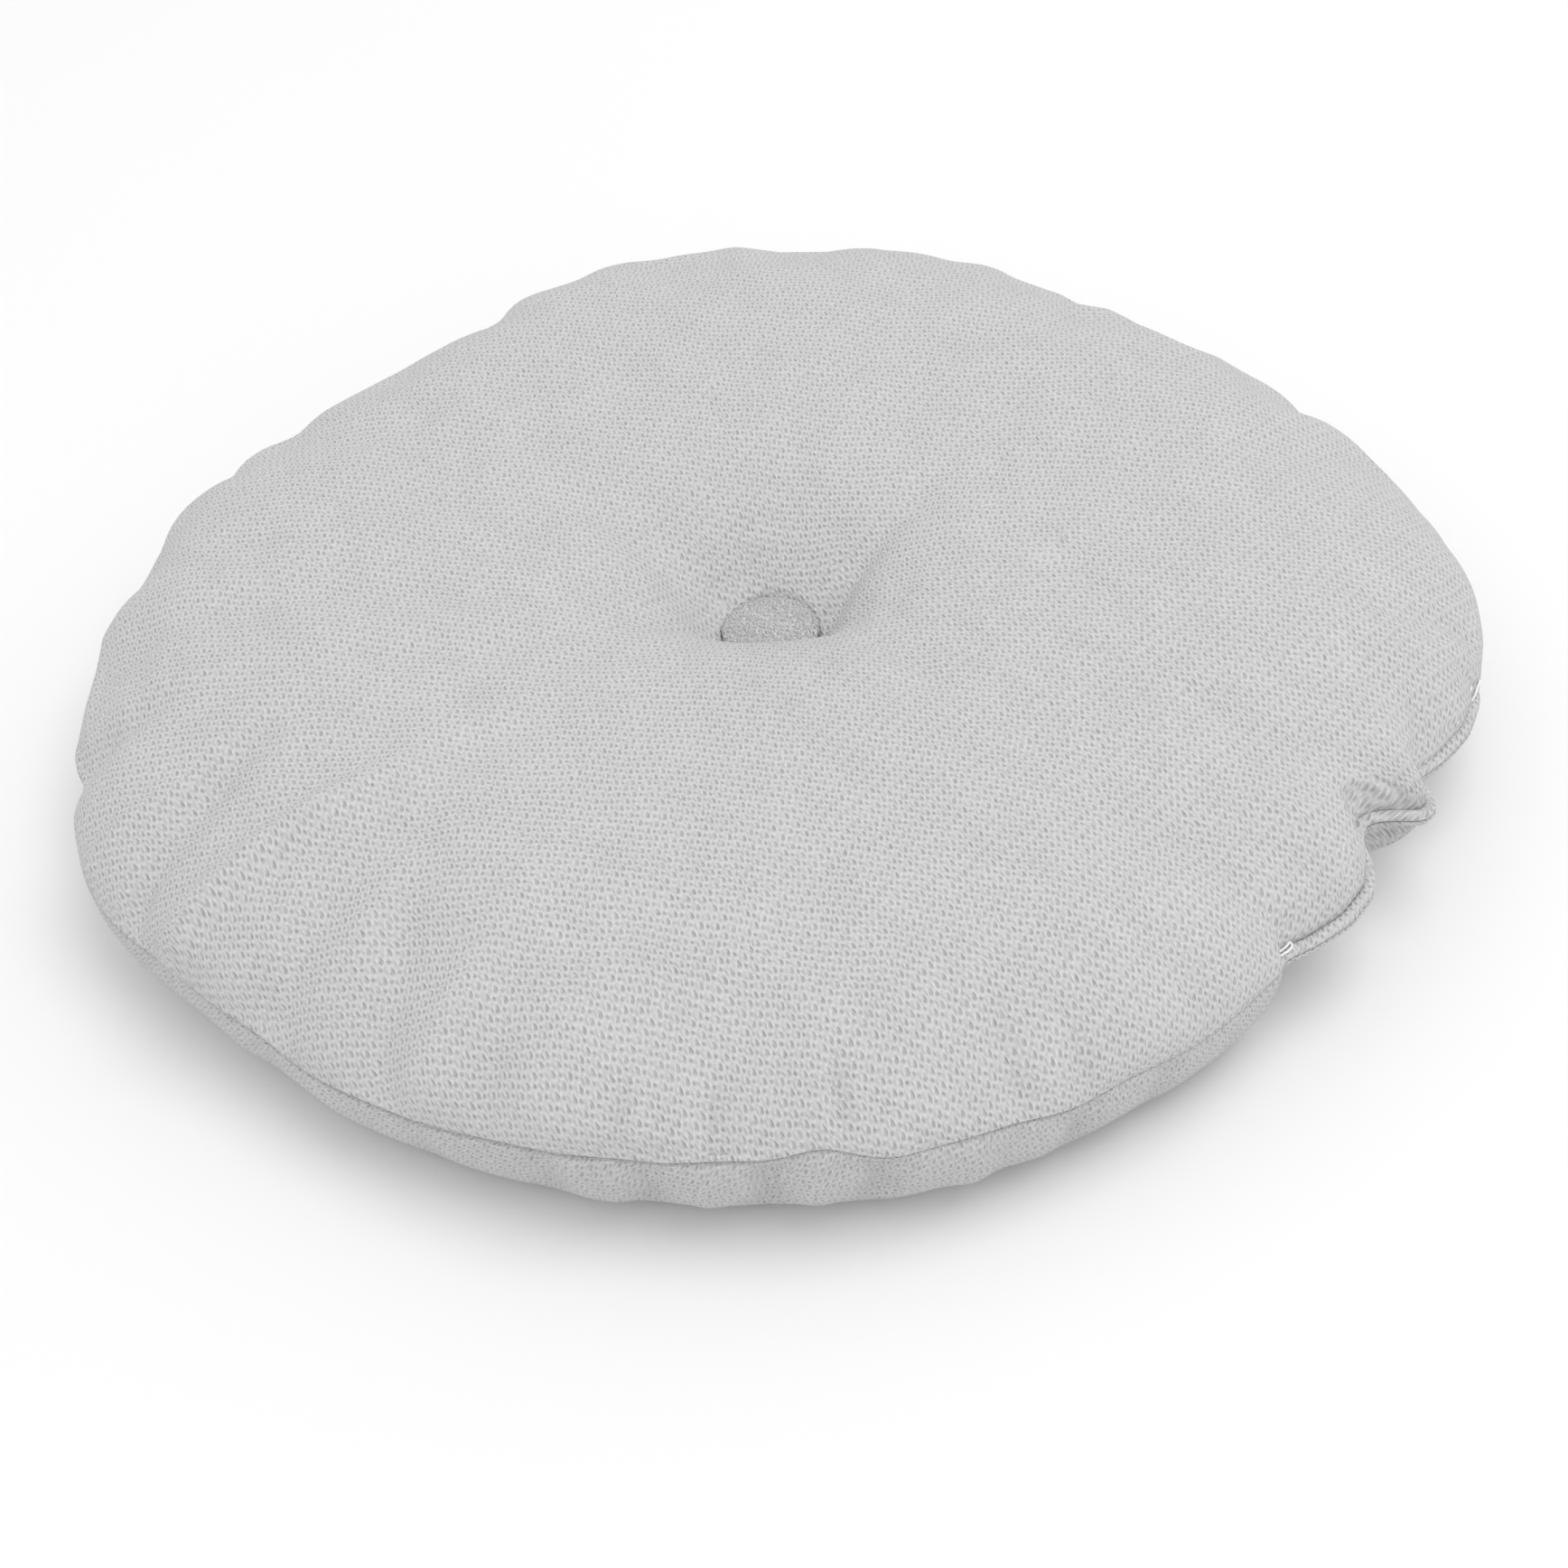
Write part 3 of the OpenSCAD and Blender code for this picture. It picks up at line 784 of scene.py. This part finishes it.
class Nodes:
    """Adds shader nodes to one material. An input is a number, a colour or another socket."""

    def __init__(self, name):
        self.material = bpy.data.materials.new(name)
        self.material.use_nodes = True
        self.tree = self.material.node_tree
        self.shader = self.tree.nodes["Principled BSDF"]

    def add(self, kind, inputs=(), **settings):
        node = self.tree.nodes.new(kind)
        for key, value in settings.items():
            setattr(node, key, value)
        for key, value in dict(inputs).items():
            self.put(node.inputs[key], value)
        return node

    def put(self, socket, value):
        if isinstance(value, bpy.types.NodeSocket):
            self.tree.links.new(value, socket)
        else:
            socket.default_value = value

    def math(self, operation, a, b=0.0, c=0.0):
        return self.add("ShaderNodeMath", {0: a, 1: b, 2: c}, operation=operation).outputs[0]

    def vector(self, operation, a, b=(0, 0, 0)):
        node = self.add("ShaderNodeVectorMath", {0: a, 1: b}, operation=operation)
        return node.outputs["Value"] if operation == "DOT_PRODUCT" else node.outputs[0]

    def join(self, x, y, z=0.0):
        return self.add("ShaderNodeCombineXYZ", {0: x, 1: y, 2: z}).outputs[0]

    def noise(self, place, scale, detail=2.0, roughness=0.5):
        inputs = {"Vector": place, "Scale": scale, "Detail": detail, "Roughness": roughness}
        return self.add("ShaderNodeTexNoise", inputs).outputs[0]

    def between(self, value, low, high, out_low=0.0, out_high=1.0):
        node = self.add("ShaderNodeMapRange", {0: value, 1: low, 2: high, 3: out_low, 4: out_high})
        return node.outputs[0]

    def mix(self, share, a, b):
        node = self.add("ShaderNodeMix", data_type="RGBA")
        self.put(node.inputs[0], share)
        self.put(node.inputs[6], a)
        self.put(node.inputs[7], b)
        return node.outputs[2]

    def bump(self, height, distance):
        return self.add("ShaderNodeBump", {"Height": height, "Distance": distance}).outputs[0]

    def blob(self, x, y, wide, high):
        """1 at the middle of a soft oval, 0 outside it."""
        far = self.math("ADD", self.math("POWER", self.math("DIVIDE", x, wide), 2.0),
                        self.math("POWER", self.math("DIVIDE", y, high), 2.0))
        return self.math("EXPONENT", self.math("MULTIPLY", far, -1.0))

    def finish(self, colour, roughness, normal=None, **plain):
        self.put(self.shader.inputs["Base Color"], colour)
        self.put(self.shader.inputs["Roughness"], roughness)
        if normal is not None:
            self.put(self.shader.inputs["Normal"], normal)
        for key, value in plain.items():
            self.shader.inputs[key.replace("_", " ")].default_value = value
        return self.material


def grey(value, warmth=0.0):
    return (value + warmth, value, value - warmth, 1)


# The weave repeats along two slanted steps, in millimetres of flat fabric
STEP_A = (1.95, 2.05)
STEP_B = (-2.6, 3.35)
# What one repeat holds, as soft ovals: centre, half length, half width, direction in degrees,
# and height. The gaps between the yarns are below 0, and the floats of yarn above it. The
# heights also set the colour: the gaps are painted darker, as painted shade, and the floats
# lighter, as a painted highlight on the yarns' tops.
WEAVE = [
    (-0.25, -0.3, 0.55, 0.55, -80, -1.8), (1.65, -0.35, 0.7, 0.4, -65, -3.4),
    (-0.2, 1.0, 1.1, 0.25, -65, -2.4), (-0.8, 0.05, 1.3, 0.4, -65, 3.8), (0.8, 0.2, 1.1, 0.55, -90, 3.0),
    (2.2, 0.55, 0.75, 0.6, -100, 2.5), (2.05, -1.35, 1.3, 0.6, -65, 3.8),
]
# The ovals' own mean, and what brings their heights to about -1 to 1
WEAVE_MIDDLE = 1.5
WEAVE_SHARE = 0.4
# Direction of the loose fibre on the yarns, in degrees
STRAND_TURN = -68


def woven(name, tone, contrast, relief, fluff=1.0, size=1.0, jitter=0.18):
    """Coarse slanted weave with loose fibre. size scales the whole weave, jitter loosens its
    order, in millimetres, and fluff is how much loose fibre there is."""
    g = Nodes(name)
    flat = g.add("ShaderNodeUVMap", uv_map="flat_fabric").outputs[0]
    place = g.vector("MULTIPLY", flat, (UV_UNIT / size, UV_UNIT / size, UV_UNIT))
    # slow drift, so that the rows of the weave aren't ruled lines, and a little unevenness
    for scale, reach in ((0.05, 3.6), (0.45, 2.2 * jitter)):
        shift = g.add("ShaderNodeTexNoise", {"Vector": place, "Scale": scale, "Detail": 1.0}).outputs[1]
        shift = g.vector("MULTIPLY", g.vector("SUBTRACT", shift, (0.5, 0.5, 0.5)), (reach, reach, 0))
        place = g.vector("ADD", place, shift)
    # the same place counted in repeats of the weave
    wide = STEP_A[0] * STEP_B[1] - STEP_A[1] * STEP_B[0]
    along = g.vector("DOT_PRODUCT", place, (STEP_B[1] / wide, -STEP_B[0] / wide, 0))
    across = g.vector("DOT_PRODUCT", place, (-STEP_A[1] / wide, STEP_A[0] / wide, 0))
    lattice = g.join(along, across)
    height = 0.0
    for x, y, half_long, half_wide, direction, rise in WEAVE:
        # where this point lies in the repeat around the oval's own centre
        own_a = (x * STEP_B[1] - y * STEP_B[0]) / wide
        own_b = (y * STEP_A[0] - x * STEP_A[1]) / wide
        inside = g.vector("FRACTION", g.vector("ADD", lattice, (0.5 - own_a, 0.5 - own_b, 0)))
        inside = g.vector("SUBTRACT", inside, (0.5, 0.5, 0))
        # and its distances along the oval and across it
        c, s = math.cos(math.radians(direction)), math.sin(math.radians(direction))
        ahead = (STEP_A[0] * c + STEP_A[1] * s, STEP_B[0] * c + STEP_B[1] * s, 0)
        aside = (STEP_A[1] * c - STEP_A[0] * s, STEP_B[1] * c - STEP_B[0] * s, 0)
        long, short = g.vector("DOT_PRODUCT", inside, ahead), g.vector("DOT_PRODUCT", inside, aside)
        height = g.math("MULTIPLY_ADD", g.blob(long, short, half_long, half_wide), rise, height)
    # some repeats are opener than others
    uneven = g.between(g.noise(place, 0.5, 1.0), 0.3, 0.7, 0.8 * WEAVE_SHARE, 1.15 * WEAVE_SHARE)
    height = g.math("MULTIPLY", g.math("SUBTRACT", height, WEAVE_MIDDLE), uneven)
    # fine fibre along the floats, and fuzz
    c, s = math.cos(math.radians(STRAND_TURN)), math.sin(math.radians(STRAND_TURN))
    strand = g.join(g.vector("DOT_PRODUCT", place, (0.5 * c, 0.5 * s, 0)),
                    g.vector("DOT_PRODUCT", place, (-1.9 * s, 1.9 * c, 0)))
    fibre = g.noise(strand, 0.95, 2.0, 0.55)
    fuzz = g.noise(place, 2.4, 2.0, 0.6)
    patches = g.noise(place, 0.035, 2.0, 0.5)
    # the colour follows the weave's heights: painted shade in the gaps between the yarns and a painted
    # highlight on the floats, with the own tone of the fibre, the fuzz and the patches added
    shade = height
    for part, weight in ((fibre, 1.5 * fluff), (fuzz, 1.0 * fluff), (patches, 0.2)):
        shade = g.math("MULTIPLY_ADD", g.math("SUBTRACT", part, 0.5), weight, shade)
    height = g.math("MULTIPLY_ADD", fibre, 1.2 * fluff, g.math("MULTIPLY_ADD", fuzz, 0.6 * fluff, height))
    colour = g.mix(g.between(shade, -1.5, 1.5), grey(tone - contrast), grey(tone + contrast))
    return g.finish(colour, g.between(fuzz, 0.3, 0.7, 0.82, 0.95), g.bump(height, relief),
                    Specular_IOR_Level=0.2, Sheen_Weight=0.12, Sheen_Roughness=0.5)


def plain_fibre():
    g = Nodes("fibre_filling")
    place = g.add("ShaderNodeTexCoord").outputs["Object"]
    tuft = g.noise(place, 140.0, 4.0, 0.6)
    return g.finish(g.mix(tuft, grey(0.82), grey(0.95)), 0.95, g.bump(tuft, 0.001), Sheen_Weight=0.3)


def spun(name, dark, bright, ply):
    """Twisted thread: slanted ridges, one every ply mm, and loose fibre."""
    g = Nodes(name)
    place = g.add("ShaderNodeTexCoord").outputs["Object"]
    along = g.vector("DOT_PRODUCT", place, (1, 1, 1.6))
    wound = g.math("SINE", g.math("MULTIPLY", along, 2 * math.pi / (ply * MM)))
    fibre = g.noise(place, 6000.0, 2.0, 0.6)
    shade = g.math("ADD", g.math("MULTIPLY", wound, 0.3), fibre)
    colour = g.mix(g.between(shade, 0.1, 0.9), grey(dark), grey(bright))
    return g.finish(colour, g.between(fibre, 0, 1, 0.6, 0.85), g.bump(shade, 0.00005), Sheen_Weight=0.15)


def pressed_metal(name, tone, rough):
    """Bare metal with faint drawing marks, dulled a little by handling."""
    g = Nodes(name)
    place = g.add("ShaderNodeTexCoord").outputs["Object"]
    marks = g.noise(g.vector("MULTIPLY", place, (1, 1, 14)), 900.0, 3.0, 0.6)
    dull = g.noise(place, 180.0, 3.0, 0.5)
    colour = g.mix(dull, grey(tone - 0.06, 0.004), grey(tone + 0.05, 0.002))
    roughness = g.between(dull, 0.3, 0.7, rough, rough + 0.18)
    return g.finish(colour, roughness, g.bump(marks, 0.00001), Metallic=1.0)


# Each woven fabric's contrast is how far its colour is painted darker in the weave's gaps, as painted
# shade, and lighter on its floats, as a painted highlight
cover_fabric = woven("cover_fabric", 0.627, 0.25, 0.00033)
underside_fabric = woven("underside_fabric", 0.605, 0.23, 0.0003, 1.3, 0.9, 0.35)
button_fabric = woven("button_fabric", 0.63, 0.3, 0.0003, 2.2, 0.75, 1.2)
seam_thread = spun("seam_thread", 0.34, 0.52, 0.9)
tack_thread = spun("tack_thread", 0.86, 0.97, 0.9)
twine = spun("twine", 0.66, 0.84, 1.6)
button_metal = pressed_metal("button_metal", 0.62, 0.3)
eye_wire = pressed_metal("eye_wire", 0.58, 0.22)


def dress(piece, body, node, material):
    """Ride a piece on its body in place of a CAD node, with its material and slot."""
    piece.data.materials.append(material)
    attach(piece, body)
    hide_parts(node)


dress(bottom_cover, "cushion_base", "bottom_panel", underside_fabric)
dress(top_button, "top_button", "top_button_cover", button_fabric)
dress(bottom_button, "bottom_button", "bottom_button_cover", button_fabric)
dress(rim_needle, "cushion_base", "rim_needle_thread", seam_thread)
dress(rim_bobbin, "cushion_base", "rim_bobbin_thread", seam_thread)
dress(edge_needle, "cushion_base", "closure_needle_thread", seam_thread)
dress(edge_bobbin, "cushion_base", "closure_bobbin_thread", seam_thread)
dress(front_tack, "cushion_base", "front_tack_thread", tack_thread)
dress(rear_tack, "cushion_base", "rear_tack_thread", tack_thread)

# The top cover and the fibre under it take their materials, have their placement baked into
# their points, and stand in for their CAD nodes
for piece, node, slot, material in (
    (top_cover, "top_panel", "cover_fabric", cover_fabric),
    (filling, "filling", "fibre_filling", plain_fibre()),
):
    piece.data.materials.append(material)
    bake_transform(piece)
    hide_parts(node)

for node, material in (("shell", button_metal), ("back", button_metal), ("eye", eye_wire)):
    for side in ("top", "bottom"):
        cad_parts[f"{side}_button_{node}"].material_slots[0].material = material
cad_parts["tufting_twine"].material_slots[0].material = twine


# ---------------------------------------------------------------- stage and light

def stage_material():
    g = Nodes("studio_floor")
    place = g.add("ShaderNodeTexCoord").outputs["Object"]
    return g.finish(g.mix(g.noise(place, 3.0), grey(0.93), grey(0.95)), 0.9)


bpy.ops.mesh.primitive_circle_add(vertices=96, radius=14, fill_type="NGON", location=(0, 0, 0))
floor = bpy.context.object
floor.name = "studio_floor"
floor.data.materials.append(stage_material())

world = bpy.data.worlds.new("studio")
world.use_nodes = True
world.node_tree.nodes["Background"].inputs[0].default_value = (1, 1, 1, 1)
world.node_tree.nodes["Background"].inputs[1].default_value = 0.85
bpy.context.scene.world = world


def area_light(name, azimuth, elevation, distance, size, power):
    lamp = bpy.data.lights.new(name, "AREA")
    lamp.shape = "DISK"
    lamp.size = size
    lamp.energy = power
    a, e = math.radians(azimuth), math.radians(elevation)
    place = Vector((math.cos(e) * math.cos(a), math.cos(e) * math.sin(a), math.sin(e))) * distance
    light = bpy.data.objects.new(name, lamp)
    light.location = place
    light.rotation_euler = place.to_track_quat("Z", "Y").to_euler()
    bpy.context.scene.collection.objects.link(light)


area_light("key", -20, 72, 2.4, 1.8, 16)
bpy.context.scene.view_settings.view_transform = "Standard"
